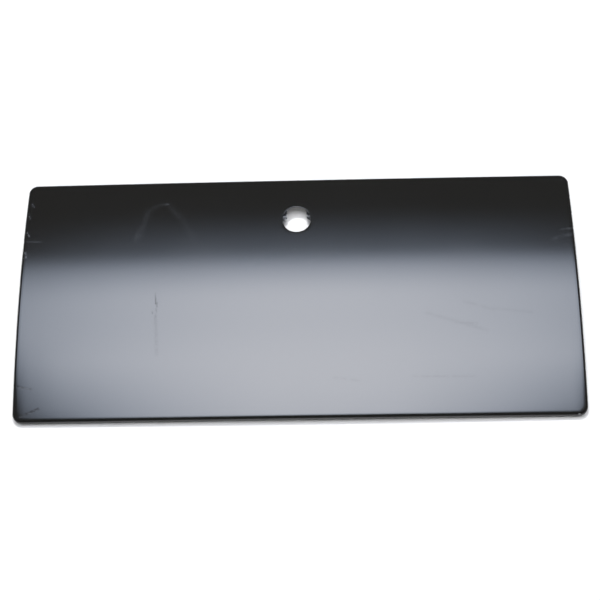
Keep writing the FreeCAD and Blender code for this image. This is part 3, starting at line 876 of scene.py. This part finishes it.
# ---- The stage ----
# A plain white floor under one large softbox, which hangs level above the panel. Its cloth is brightest
# in the middle, fades towards its corners, and ends in a soft straight edge beyond the lock's side.

FLOOR_COLOUR = (0.375, 0.358, 0.33, 1)
FLOOR_ROUGHNESS = 0.9
FLOOR_SIZE = 6.0

floor_material, floor_nodes, floor_shader = new_material("white floor")
floor_nodes.feed(floor_shader, {"Base Color": FLOOR_COLOUR, "Roughness": FLOOR_ROUGHNESS})
bpy.ops.mesh.primitive_plane_add(size=FLOOR_SIZE)
floor = bpy.context.object
floor.name = "floor"
floor.data.materials.append(floor_material)

SOFTBOX_HEIGHT = 1.2
SOFTBOX_SIZE = (1.5, 1.5)
SOFTBOX_CENTRE = (0.0, 0.35)
CLOTH_STRENGTH = 11.6
CLOTH_DIM_COLOUR = (0.80, 1.0, 1.35, 1)
CLOTH_COLOUR = (0.97, 1.0, 1.09, 1)
CLOTH_SIDE_FALL, CLOTH_NEAR_FALL = 1.35, 6.5     # how fast it fades sideways, and faster nearer
ROOM_GLOW = 0.1

softbox_material = bpy.data.materials.new("softbox cloth")
softbox_material.use_nodes = True
softbox_material.node_tree.nodes.clear()
cloth = NodeTree(softbox_material.node_tree)
place = object_place(cloth)
across, along, _ = cloth.split(place)
across_squared = cloth.math("MULTIPLY", across, across)
# Beyond the lock's side: a soft straight edge, and a faint tail that is only there in the middle.
gentle, steep = cloth.ramp(along, 0.70, 0.395, 0.0, 0.70), cloth.ramp(along, 0.685, 0.56, 0.0, 0.30)
far_edge = cloth.math("ADD", gentle, steep)
tail = cloth.math("SUBTRACT", cloth.ramp(along, 1.0, 0.41), far_edge)
edge = cloth.math("MULTIPLY_ADD", tail, cloth.ramp(across_squared, 0.0, 0.5, 0.25, 0.0), far_edge)
# Towards the sides it fades, faster the nearer it is to the hinge edge.
nearness = cloth.math("MAXIMUM", cloth.math("SUBTRACT", 0.08, along), 0.0)
side_fall = cloth.math("MULTIPLY_ADD", nearness, CLOTH_NEAR_FALL, CLOTH_SIDE_FALL)
sides = cloth.math("SUBTRACT", 1.0, cloth.math("MULTIPLY", across_squared, side_fall), clamp=True)
# Across the panel's width it is brightest in a broad middle, and it ends before the hinge side.
beyond, before = cloth.ramp(along, 0.3, 0.06, 0.94, 1.0), cloth.ramp(along, -0.3, 0.02, 0.92, 1.0)
middle = cloth.math("MULTIPLY", beyond, before)
near_end = cloth.ramp(along, -0.30, -0.19)
corner_side = cloth.ramp(across, -0.455, -0.53, 0.0, 0.34)
dim_corner = cloth.math("MULTIPLY", corner_side, cloth.ramp(along, 0.26, 0.02))
ends = cloth.math("MULTIPLY", near_end, cloth.math("SUBTRACT", 1.0, dim_corner))
glow = cloth.math("MULTIPLY", cloth.math("MULTIPLY", edge, sides), cloth.math("MULTIPLY", middle, ends))
glow_colour = cloth.blend(cloth.math("POWER", glow, 0.75), CLOTH_DIM_COLOUR, CLOTH_COLOUR)
strength = cloth.math("MULTIPLY", glow, CLOTH_STRENGTH)
emission = cloth.add("ShaderNodeEmission", {"Color": glow_colour, "Strength": strength})
room = cloth.add("ShaderNodeEmission", {"Strength": ROOM_GLOW})
both = cloth.add("ShaderNodeAddShader", {0: emission.outputs[0], 1: room.outputs[0]})
cloth.add("ShaderNodeOutputMaterial", {"Surface": both.outputs[0]})
bpy.ops.mesh.primitive_plane_add(size=1.0)
softbox = bpy.context.object
softbox.name = "softbox"
softbox.data.transform(Matrix.Diagonal((*SOFTBOX_SIZE, 1, 1)))
softbox.data.transform(Matrix.Translation((*SOFTBOX_CENTRE, SOFTBOX_HEIGHT)))
softbox.data.materials.append(softbox_material)
softbox.visible_camera = False

# A smaller light behind the lock edge gives the near edge its shadow, and a weak one in front fills it.
FLOOR_LIGHT_COLOUR = (0.955, 1.0, 1.087)
FLOOR_LIGHTS = (
    ("back_light", (-0.06, 0.6, 1.2), 0.2, 50.0),
    ("front_light", (0.05, -0.75, 1.05), 0.3, 7.5),
)
for name, place, size, power in FLOOR_LIGHTS:
    light_data = bpy.data.lights.new(name, "AREA")
    light_data.shape = "DISK"
    light_data.size = size
    light_data.color = FLOOR_LIGHT_COLOUR
    light_data.energy = power
    light = new_object(name, light_data)
    light.location = place
    light.rotation_euler = Vector(place).to_track_quat("Z", "Y").to_euler()
    light.visible_glossy = False

world = bpy.data.worlds.new("studio")
world.use_nodes = True
background = world.node_tree.nodes["Background"]
background.inputs["Color"].default_value = (1.0, 1.0, 1.0, 1)
background.inputs["Strength"].default_value = ROOM_GLOW
bpy.context.scene.world = world
bpy.context.scene.view_settings.view_transform = "Standard"

# The camera looks down at the middle of the panel from the hinge edge's side.
CAMERA_ELEVATION = math.radians(70.0)
CAMERA_AZIMUTH = math.radians(5.52)
CAMERA_ROLL = math.radians(-6.22)
CAMERA_DISTANCE = 2.152 * length
CAMERA_LENS, SENSOR_WIDTH = 72.0, 36.0
CAMERA_SHIFT = (0.0045, -0.008)
target = Vector((0, 0, skin_high.z - (ARCH_RISE + CROWN_RISE) * MM))
towards_camera = Vector((
    math.sin(CAMERA_AZIMUTH) * math.cos(CAMERA_ELEVATION),
    -math.cos(CAMERA_AZIMUTH) * math.cos(CAMERA_ELEVATION),
    math.sin(CAMERA_ELEVATION),
))
level_right = Vector((0, 0, 1)).cross(towards_camera).normalized()
level_up = towards_camera.cross(level_right)
right = level_right * math.cos(CAMERA_ROLL) + level_up * math.sin(CAMERA_ROLL)
up = level_up * math.cos(CAMERA_ROLL) - level_right * math.sin(CAMERA_ROLL)
camera_data = bpy.data.cameras.new("camera")
camera_data.lens = CAMERA_LENS
camera_data.sensor_width = SENSOR_WIDTH
camera_data.shift_x, camera_data.shift_y = CAMERA_SHIFT
camera = new_object("camera", camera_data)
turn = Matrix((right, up, towards_camera)).transposed().to_4x4()
camera.matrix_world = Matrix.Translation(target + towards_camera * CAMERA_DISTANCE) @ turn
bpy.context.scene.camera = camera
